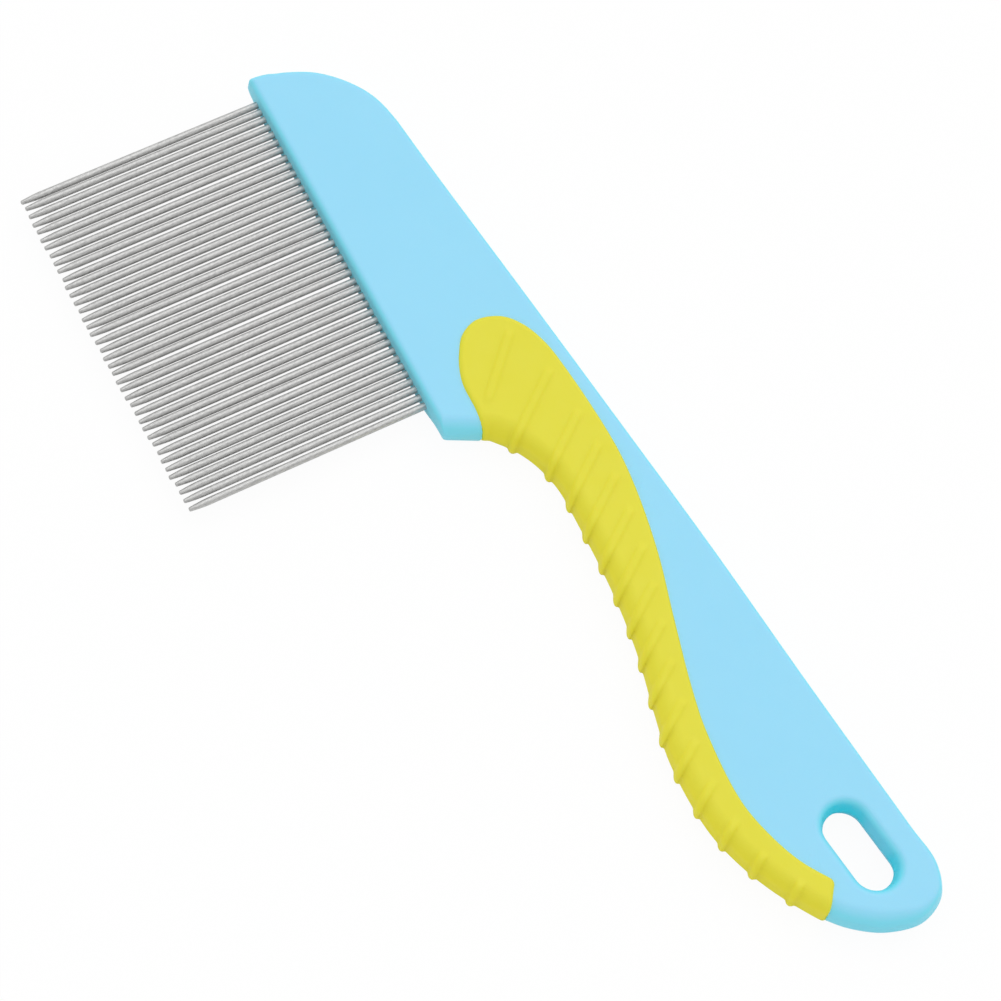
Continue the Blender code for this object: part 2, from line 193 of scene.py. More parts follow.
# Shapes of the outline as shares of the sizes above
CHIN_TO_NECK = (0.41, 0.705)
NECK_TO_BELLY = ((0.0, 0.0, 0.0), (0.13, 0.064, 0.135), (0.32, 0.206, 0.47), (0.5, 0.412, 0.82),
                 (0.68, 0.706, 0.9), (0.8, 0.887, 0.88), (1.0, 1.0, 1.0))
BELLY_TO_END = ((0.31, 0.115), (0.58, 0.36), (0.84, 0.72))
HANGING_END = ((0.61, 0.875), (0.195, 0.661), (-0.02, 0.383), (0.195, 0.13), (0.72, 0.01), (1.6, 0.0))
BACK_EDGE = ((0.75, 0.7), (0.5, 0.28), (0.28, 0.13), (0.0, 0.0))
BACK_EDGE_START = 0.77
HEAD_RISE = (0.4, 0.33)
HEAD_TOP = (0.235, 1.0)
CROWN_TO_TIP = ((1.0, 1.0), (0.69, 0.955), (0.439, 0.818), (0.229, 0.613), (0.093, 0.372), (0.033, 0.21))
LOBE = ((-0.08, 0.0), (0.31, 0.01), (0.64, 0.08), (0.87, 0.215), (0.985, 0.45), (0.91, 0.65), (0.745, 0.78),
        (0.565, 0.88), (0.37, 0.947), (-0.01, 1.0))

# Camera, in the plan frame
CAMERA_PLACE = Vector((243.56, -215.79, 595.2))
CAMERA_RIGHT = Vector((0.5732, 0.81043, 0.121))
CAMERA_UP = Vector((-0.77654, 0.49011, 0.39594))
CAMERA_LENS = 161.84
SENSOR_WIDTH = 36.0

# Stage, with the light's direction in the plan frame and the floor's size in metres
FLOOR_SIZE = 6.0
FLOOR_COLOUR = (0.95, 0.95, 0.95)
FLOOR_GLOW = 0.95
FLOOR_MIRRORED_GLOW = 0.2
LIGHT_FROM = Vector((-0.53, 0.83, 1.7))
LAMP_STRENGTH = 0.7
LAMP_ANGLE = 60.0
SKY_FROM = Vector((-0.7, 0.6, 0.9))
SKY_SPAN = (-0.45, 0.2)
SKY_DIM = 0.62
SKY_BRIGHT = 0.82

# Plastics, with painted shade: walls and recesses get a deeper colour than faces, in place of their shading
# Wall shade spans are of how upright the normal is, and recess shade spans of how open a place is within the
# reach
BLUE_PLASTIC = dict(
    faces=((0.299, 0.704, 0.935), (0.315, 0.724, 0.95)),
    # Painted shade: a deeper colour on steep walls, in place of their shading
    wall=(0.222, 0.755, 0.92), wall_shade_span=(0.99, 0.74),
    # Painted shade: a deep teal in the slot and other hollows, where the plastic is shut in
    recess_shade=(0.012, 0.79, 0.93), recess_shade_span=(0.96, 0.8), recess_shade_reach=6.0,
    roughness=(0.38, 0.48), grain=0.3, grain_depth=0.02,
    scatter=0.1, scatter_reach=(0.3, 0.8, 1.0))
YELLOW_ELASTOMER = dict(
    faces=((0.755, 0.707, 0.043), (0.79, 0.742, 0.05)),
    # Painted shade: a deeper, less blue colour on steep walls, in place of their shading
    wall=(0.83, 0.765, 0.03), wall_shade_span=(0.97, 0.4),
    # Painted shade: a darker yellow in the creases beside the ribs, where the elastomer is shut in
    recess_shade=(0.64, 0.56, 0.01), recess_shade_span=(0.98, 0.75), recess_shade_reach=1.0,
    roughness=(0.52, 0.66), grain=0.22, grain_depth=0.03,
    scatter=0.15, scatter_reach=(0.8, 0.6, 0.2))
COLOUR_CLOUD = 22.0
COLOUR_CLOUD_DETAIL = 2.0
GLOSS_CLOUD = 3.5
GRAIN_DETAIL = 4.0
GRAIN_ROUGHNESS = 0.65
GRAIN_STRENGTH = 0.35
PLASTIC_SPECULAR = 0.35

# Steel, with the width of its streaks and scratches and their stretch along the pins
STEEL_DARK = (0.43, 0.43, 0.425)
STEEL_BRIGHT = (0.655, 0.655, 0.645)
STEEL_ROUGHNESS = (0.4, 0.54)
STREAKS = (0.16, 50.0)
SCRATCHES = (0.22, 2.5)
MARK_DETAIL = 4.0
MARK_ROUGHNESS = 0.6
MARK_DEPTH = 0.012
MARK_STRENGTH = 0.5
WEAR_SPAN = (0.75, 1.25)

# Noise of all materials, with the span that its values mostly lie in
NOISE_DETAIL = 3.0
NOISE_ROUGHNESS = 0.55
NOISE_SPAN = (0.3, 0.7)

# Numbers of the colour sockets of a mix node
MIX_SHARE, MIX_FIRST, MIX_SECOND, MIX_RESULT = 0, 6, 7, 2


# Plan points and paths


def mix(start, end, share):
    return start + (end - start) * share


def unit(vector):
    return vector / np.linalg.norm(vector)


def along(reach, depth):
    """Plan point from its reach past the chin corner and its depth below the head's back edge."""
    return np.array((CHIN_X + reach, HEAD_DEPTH - depth))


def on_row(distance):
    """Plan point on the line of pin roots, counted from the first pin."""
    return np.array((distance * math.cos(SLANT), -distance * math.sin(SLANT)))


def smooth(points):
    """Centripetal Catmull-Rom curve through the points, sampled evenly in each span."""
    padded = [2 * points[0] - points[1], *points, 2 * points[-1] - points[-2]]
    share = (np.arange(SPAN_STEPS) / SPAN_STEPS)[:, None]
    spans = []
    for before, start, end, after in zip(padded, padded[1:], padded[2:], padded[3:]):
        steps = (start - before, end - start, after - end)
        lead, span, trail = (math.sqrt(np.linalg.norm(step)) for step in steps)
        leaving = (end - start) + span * ((start - before) / lead - (end - before) / (lead + span))
        arriving = (end - start) + span * ((after - end) / trail - (after - start) / (span + trail))
        spans.append(start * (1 - 3 * share ** 2 + 2 * share ** 3)
                     + end * (3 * share ** 2 - 2 * share ** 3)
                     + leaving * (share - 2 * share ** 2 + share ** 3)
                     + arriving * (share ** 3 - share ** 2))
    return np.vstack([*spans, points[-1]])


def rounded_corner(before, corner, after, radius):
    """Arc that replaces a corner of an outline."""
    back, on = unit(before - corner), unit(after - corner)
    half_angle = math.acos(back @ on) / 2
    centre = corner + unit(back + on) * radius / math.sin(half_angle)
    start = corner + back * radius / math.tan(half_angle) - centre
    end = corner + on * radius / math.tan(half_angle) - centre
    turn = math.atan2(start[0] * end[1] - start[1] * end[0], start @ end)
    angles = turn * np.linspace(0, 1, CORNER_STEPS + 1)[:, None]
    return centre + start * np.cos(angles) + np.array((-start[1], start[0])) * np.sin(angles)


def neck_to_belly():
    return [along(mix(NECK_REACH, BELLY_REACH, share), mix(NECK_WIDTH, BELLY_WIDTH, widening))
            for share, widening, _ in NECK_TO_BELLY]


def belly_to_end():
    return [along(mix(BELLY_REACH, GRIP_END_REACH, share), mix(BELLY_WIDTH, GRIP_END_DEPTH, rise))
            for share, rise in BELLY_TO_END]


def concave_edge():
    """Outer edge of the grip, from the chin to the hanging end."""
    start = along(CHIN_RUN, GRIP_START_DEPTH)
    share, narrowing = CHIN_TO_NECK
    neck_in = along(mix(CHIN_RUN, NECK_REACH, share), mix(GRIP_START_DEPTH, NECK_WIDTH, narrowing))
    return [start, neck_in, *neck_to_belly(), *belly_to_end(), along(GRIP_END_REACH, GRIP_END_DEPTH)]


def hanging_end():
    return [along(HANDLE_REACH - GRIP_END_SETBACK * setback, mix(BACK_DROP, GRIP_END_DEPTH, depth))
            for setback, depth in HANGING_END]


def back_edge():
    start = np.array((CHIN_X * BACK_EDGE_START, HEAD_DEPTH))
    end = hanging_end()[-1]
    return [np.array((mix(start[0], end[0], share), mix(start[1], end[1], drop)))
            for share, drop in BACK_EDGE]


def chin_corner():
    return on_row(ROW_LENGTH + CHIN_MARGIN) - np.array((0, CHIN_DROP))


def head_tip():
    return on_row(-HEAD_TIP_MARGIN) + np.array((0, HEAD_TIP_INSET))


def head_top():
    rise, crown = (np.array((CHIN_X * share, HEAD_DEPTH + HEAD_CROWN * height))
                   for share, height in (HEAD_RISE, HEAD_TOP))
    tip = head_tip()
    fall = [np.array((mix(tip[0], crown[0], run), mix(tip[1], crown[1], climb)))
            for run, climb in CROWN_TO_TIP]
    return [rise, *fall]


def handle_outline():
    """Closed outline of the whole handle in plan, anticlockwise from the chin corner."""
    chin, tip = chin_corner(), head_tip()
    sweep = smooth(concave_edge() + hanging_end() + back_edge() + head_top())
    return np.vstack([rounded_corner(tip, chin, sweep[0], CHIN_RADIUS), sweep,
                      rounded_corner(sweep[-1], tip, chin, HEAD_TIP_RADIUS)])


def hand_outline():
    """Closed outline of the handle without its pin side: the chin's lower edge runs on past the corner."""
    sweep = smooth(concave_edge() + hanging_end() + back_edge() + head_top()[:2])
    run_on = chin_corner() - unit(sweep[0] - chin_corner()) * HEAD_DEPTH
    return np.vstack([run_on, sweep, (-HEAD_DEPTH, sweep[-1][1]), (-HEAD_DEPTH, run_on[1])])


def grip_outline():
    """Closed plan of the grip: its edge on the blue face, closed again outside the concave edge."""
    end = along(GRIP_END_REACH - GRIP_END_TRIM, GRIP_END_DEPTH)
    end_run = np.array((math.cos(math.radians(GRIP_END_LEAN)), -math.sin(math.radians(GRIP_END_LEAN))))
    end_corner = end - end_run * GRIP_END_BAND
    tail = [point + np.array((0, band)) for point, band in zip(belly_to_end(), GRIP_TAIL_BANDS)]
    upper = [point + np.array((0, mix(GRIP_NECK_BAND, GRIP_BELLY_BAND, narrowing)))
             for point, (_, _, narrowing) in zip(neck_to_belly(), NECK_TO_BELLY)]
    lobe = [along(-GRIP_LOBE_REACH * share, mix(GRIP_BACK_MARGIN, GRIP_START_DEPTH, depth))
            for share, depth in LOBE]
    past_chin = along(CHIN_RUN + GRIP_START_RUN, GRIP_START_DEPTH + GRIP_START_FALL)
    face = smooth([end_corner, *reversed(tail), *reversed(upper), *lobe, past_chin])
    past_end = end + end_run * CUT_MARGIN
    corner = rounded_corner(past_end, end_corner, face[SPAN_STEPS], GRIP_END_CORNER)
    outside = [point - np.array((0, GRIP_WRAP + CUT_MARGIN)) for point in concave_edge()[1:-1]]
    return np.vstack([past_end, corner, face[SPAN_STEPS // 2:], *outside])


def core_outline():
    """Closed plan of the core under the grip: the handle's outline moved in by the grip's wrap."""
    edge = smooth(concave_edge() + hanging_end()[:2])
    step = np.gradient(edge, axis=0)
    normal = np.stack([-step[:, 1], step[:, 0]], axis=1)
    line = edge + normal / np.linalg.norm(normal, axis=1)[:, None] * GRIP_WRAP
    far_y = HEAD_DEPTH + CUT_MARGIN
    far_x = CHIN_X - GRIP_LOBE_REACH - CUT_MARGIN
    return np.vstack([line, (line[-1][0], far_y), (far_x, far_y), (far_x, line[0][1])])


# Distance fields in the plan


def plan_distance(outline, x, y):
    """Signed distance from plan points to a closed outline, negative inside."""
    x, y = np.broadcast_arrays(x, y)
    nearest = np.full(x.shape, np.inf)
    inside = np.zeros(x.shape, bool)
    for (ax, ay), (bx, by) in zip(outline, np.roll(outline, -1, axis=0)):
        run, rise = bx - ax, by - ay
        across, up = x - ax, y - ay
        share = np.clip((across * run + up * rise) / (run ** 2 + rise ** 2), 0, 1)
        nearest = np.minimum(nearest, (across - share * run) ** 2 + (up - share * rise) ** 2)
        if rise:
            inside ^= ((ay > y) != (by > y)) & (across < run * up / rise)
    return np.where(inside, -1, 1) * np.sqrt(nearest)


def slot_distance(x, y):
    """Signed distance to the hang slot, negative inside it."""
    radius = SLOT_WIDTH / 2
    middle = along(HANDLE_REACH - SLOT_END_WALL - SLOT_LENGTH / 2, BACK_DROP + SLOT_BACK_WALL + radius)
    past = np.maximum(np.abs(x - middle[0]) - (SLOT_LENGTH / 2 - radius), 0)
    return np.hypot(past, y - middle[1]) - radius


def fade(start, end, value):
    """Smooth fall from one at the start to zero at the end."""
    share = np.clip((value - start) / (end - start), 0, 1)
    return 1 - share * share * (3 - 2 * share)


def reach_to(outline, origin, direction):
    """Distance from a point along a direction to the far side of an outline."""
    found = [0.0]
    for start, end in zip(outline, np.roll(outline, -1, axis=0)):
        step = end - start
        slope = direction[0] * step[1] - direction[1] * step[0]
        if slope:
            offset = start - origin
            share = (offset[0] * direction[1] - offset[1] * direction[0]) / slope
            if 0 <= share < 1:
                found.append((offset[0] * step[1] - offset[1] * step[0]) / slope)
    return max(found)


def bead(x, y, foot, lean):
    """Height of an endless rib as a share, nearness to the edge as a share, and the way along the rib."""
    inward = np.array((-math.sin(lean), math.cos(lean)))
    aside = (x - foot[0]) * inward[1] - (y - foot[1]) * inward[0]
    onward = (x - foot[0]) * inward[0] + (y - foot[1]) * inward[1]
    at_edge = fade(RIB_EDGE_REACH, RIB_FACE_REACH, onward)
    # The section is rounder at the edge than on the face
    raw = 1 - np.abs(aside / RIB_HALF_WIDTH) ** mix(RIB_FACE_POWER, RIB_EDGE_POWER, at_edge)
    return (raw + np.sqrt(raw ** 2 + RIB_FILLET)) / 2, at_edge, onward


def rib_height(x, y):
    """Height of the ribs over the grip's skin: each fades out across the face, and one lies on the lobe."""
    edge = smooth(concave_edge())
    face = grip_outline()
    height = 0
    for reach in RIB_FEET:
        foot = np.array((CHIN_X + reach, np.interp(CHIN_X + reach, edge[:, 0], edge[:, 1])))
        lean = math.radians(mix(RIB_FIRST_LEAN, RIB_LAST_LEAN, reach / GRIP_END_REACH))
        bump, at_edge, onward = bead(x, y, foot, lean)
        room = reach_to(face, foot, np.array((-math.sin(lean), math.cos(lean))))
        length = min(RIB_LENGTH, room - RIB_FACE_MARGIN)
        crown = mix(RIB_FACE_HEIGHT, RIB_EDGE_HEIGHT, at_edge)
        height = np.maximum(height, bump * crown * fade(length - RIB_FADE, length, onward))
    bump, _, onward = bead(x, y, along(-LOBE_RIB_SETBACK, LOBE_RIB_DEPTH), math.radians(LOBE_RIB_LEAN))
    both_ends = fade(LOBE_RIB_LENGTH - RIB_FADE, LOBE_RIB_LENGTH, onward) * (1 - fade(0, RIB_FADE, onward))
    return np.maximum(height, bump * RIB_FACE_HEIGHT * both_ends)


def rounded_join(first, second, radius):
    """Signed distance to what two solids share, with the edge between them rounded."""
    outside = np.hypot(np.maximum(first + radius, 0), np.maximum(second + radius, 0))
    return np.minimum(np.maximum(first, second) + radius, 0) + outside - radius


def drafted(wall, z, angle):
    """Upright wall that leans in from the parting plane toward both faces."""
    draft = np.radians(angle)
    return (wall + np.abs(z) * np.tan(draft)) * np.cos(draft)


def plate_field(x, y, z):
    """Plate of the handle and head: steep on the pins' side, and round on the hand's side."""
    face = np.abs(z) - HALF
    pin_side = fade(*PIN_SIDE_FADE, x * math.sin(SLANT) + y * math.cos(SLANT))
    # Below the parting plane the wall is steep only along the pins
    at_pins = pin_side * fade(*CHIN_FADE, x) * (1 - fade(*HEAD_TIP_FADE, x))
    draft = mix(DRAFT, PIN_SIDE_DRAFT, np.where(z > 0, pin_side, at_pins))
    radius = mix(EDGE_RADIUS, PIN_SIDE_EDGE_RADIUS, pin_side)
    wall = plan_distance(handle_outline(), x, y) - EDGE_PROUD
    steep = rounded_join(drafted(wall, z, draft), face, radius)
    hand_side = fade(*HAND_SIDE_FADE, y)
    radius = mix(EDGE_RADIUS, HAND_SIDE_EDGE_RADIUS, hand_side)
    wall = plan_distance(hand_outline(), x, y) - mix(EDGE_PROUD, HAND_SIDE_PROUD, hand_side)
    return np.maximum(steep, rounded_join(drafted(wall, z, DRAFT), face, radius))


def handle_field(x, y, z):
    """Handle with its slot, and with only a core left under the grip."""
    slot = rounded_join(drafted(-slot_distance(x, y), z, DRAFT), np.abs(z) - HALF, SLOT_EDGE_RADIUS)
    core = np.maximum(plan_distance(core_outline(), x, y), np.abs(z) - CORE_HALF)
    hollow = np.maximum(plan_distance(grip_outline(), x, y), -core)
    return np.maximum(np.maximum(plate_field(x, y, z), slot), -hollow)


def grip_field(x, y, z):
    """Grip with its ribs, before the core is cut out of it."""
    draft = GRIP_START_DRAFT * fade(*GRIP_DRAFT_FADE, x - CHIN_X)
    wall = drafted(plan_distance(handle_outline(), x, y), z, draft)
    skin = rounded_join(wall, np.abs(z) - GRIP_HALF, GRIP_EDGE_RADIUS)
    border = plan_distance(grip_outline(), x, y) - GRIP_LIP_SPREAD
    return rounded_join(skin - rib_height(x, y), border, GRIP_LIP_RADIUS)


# Meshes from fields


def surface_net(values):
    """Vertices, in grid steps, and quads of the zero surface of a field sampled on a grid."""
    cells, crossings = [], []
    for axis in range(3):
        turned = np.moveaxis(values, axis, 0)
        back = np.argsort([axis] + [other for other in range(3) if other != axis])
        place = np.argwhere((turned[:-1] < 0) != (turned[1:] < 0))
        below = turned[tuple(place.T)]
        above = turned[tuple((place + (1, 0, 0)).T)]
        point = place.astype(float)
        point[:, 0] += below / (below - above)
        ring = place[:, None, :] - np.array(((0, 0, 0), (0, 1, 0), (0, 1, 1), (0, 0, 1)))
        flipped = (below < 0) == (axis == 1)
        ring[flipped] = ring[flipped, ::-1]
        cells.append(ring[..., back])
        crossings.append(point[:, back])
    flat = np.ravel_multi_index(tuple(np.concatenate(cells).reshape(-1, 3).T), values.shape)
    _, quads = np.unique(flat, return_inverse=True)
    points = np.repeat(np.concatenate(crossings), 4, axis=0)
    number = np.bincount(quads)
    vertices = np.stack([np.bincount(quads, points[:, axis]) / number for axis in range(3)], axis=1)
    return vertices, quads.reshape(-1, 4)


def settle(vertices, values):
    """Move the vertices, in grid steps, onto the zero surface of the field."""
    for _ in range(SETTLE_ROUNDS):
        base = np.floor(vertices).astype(int)
        near = vertices - base
        corner = values[tuple(base[:, axis, None, None, None] + offset
                              for axis, offset in enumerate(np.ogrid[:2, :2, :2]))]
        weights = [np.stack([1 - near[:, axis], near[:, axis]]) for axis in range(3)]
        ends = np.stack([-np.ones(len(near)), np.ones(len(near))])

        def blend(*shares):
            return np.einsum("nijk,in,jn,kn->n", corner, *shares)

        value = blend(*weights)
        slope = np.stack([blend(*(ends if other == axis else weights[other] for other in range(3)))
                          for axis in range(3)], axis=1)
        vertices = vertices - slope * (value / (slope ** 2).sum(axis=1))[:, None]
    return vertices


def skin_mesh(name, field, low, high, share):
    """Closed mesh of a field's zero surface between two corners, thinned out to a share of its faces."""
    low, high = np.array(low) - SKIN_MARGIN, np.array(high) + SKIN_MARGIN
    x, y, z = (np.arange(low[axis], high[axis], SKIN_STEP) for axis in range(3))
    values = field(x[:, None, None], y[None, :, None], z[None, None, :])
    vertices, quads = surface_net(values)
    vertices = settle(vertices, values) * SKIN_STEP + low
    mesh = bpy.data.meshes.new(name)
    mesh.from_pydata(vertices * MM, [], quads)
    body = placed(name, mesh)
    body.modifiers.new("thinned", "DECIMATE").ratio = share
    return mesh_of(body)


def mesh_of(obj):
    """Mesh of an object with its modifiers applied. The object is removed."""
    evaluated = obj.evaluated_get(bpy.context.evaluated_depsgraph_get())
    mesh = bpy.data.meshes.new_from_object(evaluated)
    mesh.name = obj.name
    bpy.data.objects.remove(obj, do_unlink=True)
    return mesh


def placed(name, mesh):
    obj = bpy.data.objects.new(name, mesh)
    bpy.context.scene.collection.objects.link(obj)
    return obj


def less(mesh, *cutters):
    """Mesh with other meshes cut away from it."""
    body = placed(mesh.name, mesh)
    holders = [placed(cutter.name + "_cut", cutter) for cutter in cutters]
    for holder in holders:
        cut = body.modifiers.new(holder.name, "BOOLEAN")
        cut.operation = "DIFFERENCE"
        cut.solver = "MANIFOLD"
        cut.object = holder
    result = mesh_of(body)
    for holder in holders:
        bpy.data.objects.remove(holder, do_unlink=True)
    return result


def prism_mesh(name, outline, half):
    """Straight prism over a closed plan outline."""
    bm = bmesh.new()
    bottom = [bm.verts.new((x * MM, y * MM, -half * MM)) for x, y in outline]
    top = [bm.verts.new((x * MM, y * MM, half * MM)) for x, y in outline]
    bm.faces.new(reversed(bottom))
    bm.faces.new(top)
    for index in range(len(outline)):
        bm.faces.new((bottom[index - 1], bottom[index], top[index], top[index - 1]))
    mesh = bpy.data.meshes.new(name)
    bm.to_mesh(mesh)
    bm.free()
    return mesh


def joined(name, meshes):
    bm = bmesh.new()
    for mesh in meshes:
        bm.from_mesh(mesh)
    total = bpy.data.meshes.new(name)
    bm.to_mesh(total)
    bm.free()
    return total


# Pins


def pin_rings(length):
    """(height, radius) of a pin's rings from its seat to its rounded tip."""
    radius, tip = PIN_DIAMETER / 2, PIN_TIP_DIAMETER / 2
    last = length - PIN_POINT - PIN_RING_STEP / 2
    shank = [(height, radius) for height in (-PIN_SEAT, 0, *np.arange(PIN_RING_STEP, last, PIN_RING_STEP))]
    taper = PIN_POINT - PIN_TIP_ROUND
    point = [(length - PIN_TIP_ROUND - taper * (1 - share), mix(radius, tip, share ** PIN_POINT_POWER))
             for share in np.linspace(0, 1, PIN_POINT_RINGS)]
    cap = [(length - PIN_TIP_ROUND * (1 - math.sin(angle)), tip - PIN_TIP_ROUND * (1 - math.cos(angle)))
           for angle in np.radians(np.linspace(0, 90, PIN_CAP_RINGS + 1)[1:])]
    return shank + point + cap


def pin_mesh(name, index, draw):
    """One pin in the plan, with the small unevenness of its own length, lean and bow."""
    middle = 1 - (2 * index / (PIN_COUNT - 1) - 1) ** 2
    length = PIN_EXPOSED + PIN_MIDDLE_EXTRA * middle + draw.uniform(-1, 1) * PIN_LENGTH_SCATTER
    scatter = (PIN_ROOT_SCATTER, PIN_BOW_SCATTER, PIN_LEAN_SCATTER, PIN_RISE_SCATTER)
    root, bow, lean, rise = draw.uniform(-1, 1, 4) * scatter
    turns = [math.tau * side / PIN_SIDES for side in range(PIN_SIDES)]
    bm = bmesh.new()
    rings = []
    for height, radius in pin_rings(length):
        share = max(height, 0) / length
        aside = root + lean * share + bow * share * (1 - share) * 4
        up = rise * share ** 2
        rings.append([bm.verts.new((aside + radius * math.cos(turn), -height, up - radius * math.sin(turn)))
                      for turn in turns])
    for lower, upper in zip(rings, rings[1:]):
        for side in range(PIN_SIDES):
            bm.faces.new((lower[side - 1], lower[side], upper[side], upper[side - 1]))
    bm.faces.new(reversed(rings[0]))
    bm.faces.new(rings[-1])
    bmesh.ops.recalc_face_normals(bm, faces=bm.faces)
    mesh = bpy.data.meshes.new(name)
    bm.to_mesh(mesh)
    bm.free()
    mesh.transform(Matrix.Translation((*on_row(index * PIN_PITCH), 0)) @ Matrix.Rotation(-SLANT, 4, "Z"))
    mesh.transform(Matrix.Scale(MM, 4))
    return mesh


# Materials


def new_material(name):
    """Material with a plain shader, and its node tree and shader."""
    material = bpy.data.materials.new(name)
    material.use_nodes = True
    tree = material.node_tree
    return material, tree, tree.nodes["Principled BSDF"]


def feed(tree, socket, value):
    """Link a socket to another one, or set its value."""
    if isinstance(value, bpy.types.NodeSocket):
        tree.links.new(value, socket)
    else:
        socket.default_value = value


def fill(tree, node, **sockets):
    """Feed sockets of a node by their names, with underscores for spaces."""
    for key, value in sockets.items():
        feed(tree, node.inputs[key.replace("_", " ")], value)


def put(tree, kind, *values, **settings):
    """New node with properties and sockets by name, and with its first sockets fed in order."""
    node = tree.nodes.new(kind)
    for key, value in settings.items():
        if hasattr(node, key):
            setattr(node, key, value)
        else:
            fill(tree, node, **{key: value})
    for socket, value in zip(node.inputs, values):
        feed(tree, socket, value)
    return node


def reckoned(tree, operation, *values):
    """Result of a math node on sockets and numbers."""
    return put(tree, "ShaderNodeMath", *values, operation=operation).outputs[0]


def noise(tree, place, size, detail=NOISE_DETAIL, roughness=NOISE_ROUGHNESS):
    """Noise with features of about the given size in millimetres."""
    node = put(tree, "ShaderNodeTexNoise", Vector=place, Scale=1 / (size * MM), Detail=detail,
               Roughness=roughness)
    return node.outputs["Fac"]


def ranged(tree, value, span, low=0.0, high=1.0):
    """A value over a span, turned into one between a low and a high end."""
    node = put(tree, "ShaderNodeMapRange", Value=value, From_Min=span[0], From_Max=span[1], To_Min=low,
               To_Max=high)
    return node.outputs["Result"]


def between(tree, share, first, second):
    """Colour between a first one, which may be a socket, and a second one."""
    node = put(tree, "ShaderNodeMix", data_type="RGBA")
    if not isinstance(first, bpy.types.NodeSocket):
        first = (*first, 1)
    for number, value in ((MIX_SHARE, share), (MIX_FIRST, first), (MIX_SECOND, (*second, 1))):
        feed(tree, node.inputs[number], value)
    return node.outputs[MIX_RESULT]


def bumped(tree, shader, height, depth, strength):
    bump = put(tree, "ShaderNodeBump", Height=height, Distance=depth * MM, Strength=strength)
    fill(tree, shader, Normal=bump.outputs["Normal"])


def moulded(name, faces, wall, wall_shade_span, recess_shade, recess_shade_span, recess_shade_reach, roughness, grain, grain_depth,
            scatter, scatter_reach):
    """Moulded plastic, a little clouded in colour and gloss, with a fine eroded grain and painted shade on
    walls and in recesses.
    """
    material, tree, shader = new_material(name)
    texture = put(tree, "ShaderNodeTexCoord")
    place = texture.outputs["Object"]
    colour = between(tree, noise(tree, place, COLOUR_CLOUD, COLOUR_CLOUD_DETAIL), *faces)
    # Painted shade: the more upright the normal, the more the wall colour replaces the face colour
    normal = put(tree, "ShaderNodeSeparateXYZ", Vector=texture.outputs["Normal"])
    upright = reckoned(tree, "ABSOLUTE", normal.outputs["Z"])
    colour = between(tree, ranged(tree, upright, wall_shade_span), colour, wall)
    # Painted shade: places that ambient occlusion finds closed in get the darker recess colour
    around = put(tree, "ShaderNodeAmbientOcclusion", only_local=True, Distance=recess_shade_reach * MM)
    colour = between(tree, ranged(tree, around.outputs["AO"], recess_shade_span), colour, recess_shade)
    gloss = ranged(tree, noise(tree, place, GLOSS_CLOUD), NOISE_SPAN, *roughness)
    grains = noise(tree, place, grain, GRAIN_DETAIL, GRAIN_ROUGHNESS)
    bumped(tree, shader, grains, grain_depth, GRAIN_STRENGTH)
    fill(tree, shader, Base_Color=colour, Roughness=gloss, Specular_IOR_Level=PLASTIC_SPECULAR,
         Subsurface_Weight=scatter, Subsurface_Radius=scatter_reach, Subsurface_Scale=MM)
    return material


def drawn_steel(name):
    """Drawn wire: fine streaks along the pins and short scratches, in tint, gloss and height."""
    material, tree, shader = new_material(name)
    place = put(tree, "ShaderNodeTexCoord").outputs["Object"]
    marks = []
    for size, stretch in (STREAKS, SCRATCHES):
        turned = put(tree, "ShaderNodeMapping", Vector=place, Rotation=(0, 0, SLANT),
                     Scale=(1, 1 / stretch, 1))
        marks.append(noise(tree, turned.outputs["Vector"], size, MARK_DETAIL, MARK_ROUGHNESS))
    wear = ranged(tree, reckoned(tree, "ADD", *marks), WEAR_SPAN)
    bumped(tree, shader, wear, MARK_DEPTH, MARK_STRENGTH)
    tint = between(tree, wear, STEEL_DARK, STEEL_BRIGHT)
    gloss = ranged(tree, marks[0], NOISE_SPAN, *STEEL_ROUGHNESS)
    fill(tree, shader, Base_Color=tint, Roughness=gloss, Metallic=1.0)
    return material


# Pieces


def dress(name, mesh, nodes, material):
    """Piece of the object from a plan mesh: placed, smoothed, painted and tied to the frame."""
    mesh.transform(Matrix.Translation(PLAN_ORIGIN * MM))
    mesh.materials.clear()
    mesh.materials.append(material)
    mesh.shade_smooth()
    mesh.set_sharp_from_angle(angle=math.radians(SHARP_ANGLE))
    piece = placed(name, mesh)
    piece.modifiers.new("flat_faces", "WEIGHTED_NORMAL").keep_sharp = True
    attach(piece, "root")
    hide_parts(*nodes)


def make_pieces():
    """Handle, grip and pins. The core is cut out of the grip, and the grip and pins out of the handle."""
    outline = handle_outline()
    low, high = outline.min(axis=0), outline.max(axis=0)
    plate = skin_mesh("handle", handle_field, (*low, -HALF), (*high, HALF), HANDLE_SHARE)
    face = grip_outline()
    top = GRIP_HALF + RIB_EDGE_HEIGHT
    grip_low = (face[:, 0].min(), low[1] - RIB_EDGE_HEIGHT, -top)
    grip_high = (face[:, 0].max(), HEAD_DEPTH, top)
    grip = less(skin_mesh("grip", grip_field, grip_low, grip_high, GRIP_SHARE),
                prism_mesh("core", core_outline(), CORE_HALF))
    draw = np.random.default_rng(SCATTER_SEED)
    pins = [pin_mesh(f"wire_pin_{index + 1:02d}", index, draw) for index in range(PIN_COUNT)]
    handle = less(plate, grip.copy(), joined("pins", pins))
    blue = moulded("blue_plastic", **BLUE_PLASTIC)
    yellow = moulded("yellow_elastomer", **YELLOW_ELASTOMER)
    steel = drawn_steel("drawn_steel")
    dress("moulded_handle", handle, ["handle_body"], blue)
    dress("ribbed_grip", grip, ["soft_grip"], yellow)
    for number, pin in enumerate(pins, 1):
        dress(pin.name, pin, [f"pin_{number:02d}"], steel)


# Stage


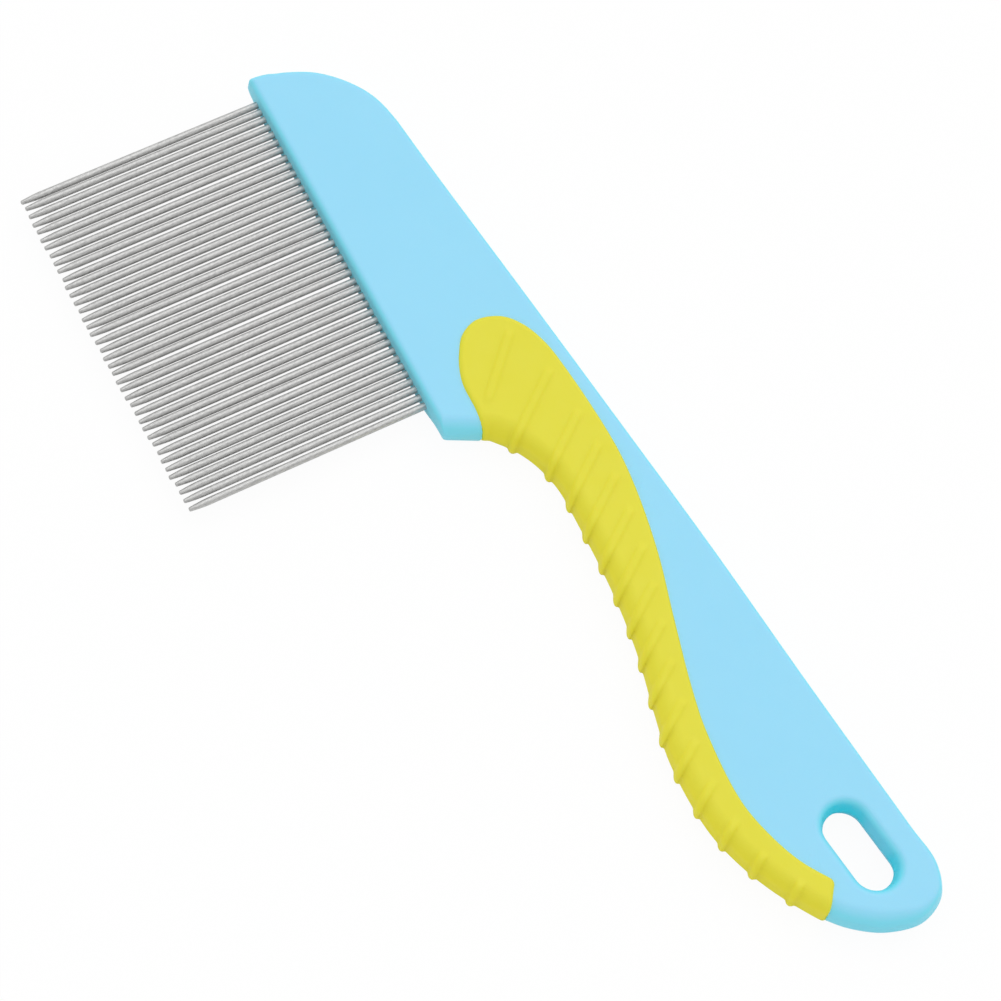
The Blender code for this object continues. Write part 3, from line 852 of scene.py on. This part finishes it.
def make_floor(height):
    """White floor that glows for the camera and in reflections, so that its shadow stays faint."""
    material = bpy.data.materials.new("white_floor")
    material.use_nodes = True
    tree = material.node_tree
    tree.nodes.remove(tree.nodes["Principled BSDF"])
    diffuse = put(tree, "ShaderNodeBsdfDiffuse", Color=(*FLOOR_COLOUR, 1))
    glow = put(tree, "ShaderNodeEmission", Color=(1, 1, 1, 1), Strength=1.0)
    path = put(tree, "ShaderNodeLightPath").outputs
    seen = reckoned(tree, "MAXIMUM", path["Is Camera Ray"], path["Is Transmission Ray"])
    direct = reckoned(tree, "MULTIPLY", seen, FLOOR_GLOW)
    share = reckoned(tree, "MULTIPLY_ADD", path["Is Glossy Ray"], FLOOR_MIRRORED_GLOW, direct)
    both = put(tree, "ShaderNodeMixShader", share, diffuse.outputs[0], glow.outputs[0])
    fill(tree, tree.nodes["Material Output"], Surface=both.outputs[0])
    side = FLOOR_SIZE / 2
    corners = [(-side, -side, height), (side, -side, height), (side, side, height), (-side, side, height)]
    mesh = bpy.data.meshes.new("floor")
    mesh.from_pydata(corners, [], [(0, 1, 2, 3)])
    mesh.materials.append(material)
    placed("floor", mesh)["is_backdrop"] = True


def make_light():
    """Pale sky that is brighter toward the light, and one broad soft lamp."""
    world = bpy.data.worlds.new("studio")
    bpy.context.scene.world = world
    world.use_nodes = True
    tree = world.node_tree
    direction = put(tree, "ShaderNodeTexCoord").outputs["Generated"]
    toward = put(tree, "ShaderNodeVectorMath", direction, SKY_FROM.normalized(), operation="DOT_PRODUCT")
    strength = ranged(tree, toward.outputs["Value"], SKY_SPAN, SKY_DIM, SKY_BRIGHT)
    fill(tree, tree.nodes["Background"], Color=(1, 1, 1, 1), Strength=strength)
    lamp = bpy.data.lights.new("key", "SUN")
    lamp.energy = LAMP_STRENGTH
    lamp.angle = math.radians(LAMP_ANGLE)
    key = bpy.data.objects.new("key", lamp)
    bpy.context.scene.collection.objects.link(key)
    key.rotation_euler = LIGHT_FROM.to_track_quat("Z", "Y").to_euler()


def make_camera():
    """Camera at its place, turned by the directions to its right and up."""
    data = bpy.data.cameras.new("camera")
    data.lens = CAMERA_LENS
    data.sensor_width = SENSOR_WIDTH
    camera = bpy.data.objects.new("camera", data)
    bpy.context.scene.collection.objects.link(camera)
    right = CAMERA_RIGHT.normalized()
    back = right.cross(CAMERA_UP).normalized()
    turn = Matrix((right, back.cross(right), back)).transposed().to_4x4()
    camera.matrix_world = Matrix.Translation((CAMERA_PLACE + PLAN_ORIGIN) * MM) @ turn
    bpy.context.scene.camera = camera


make_camera()
make_light()
make_pieces()
make_floor(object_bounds()[0][2])
bpy.context.scene.view_settings.view_transform = "Standard"
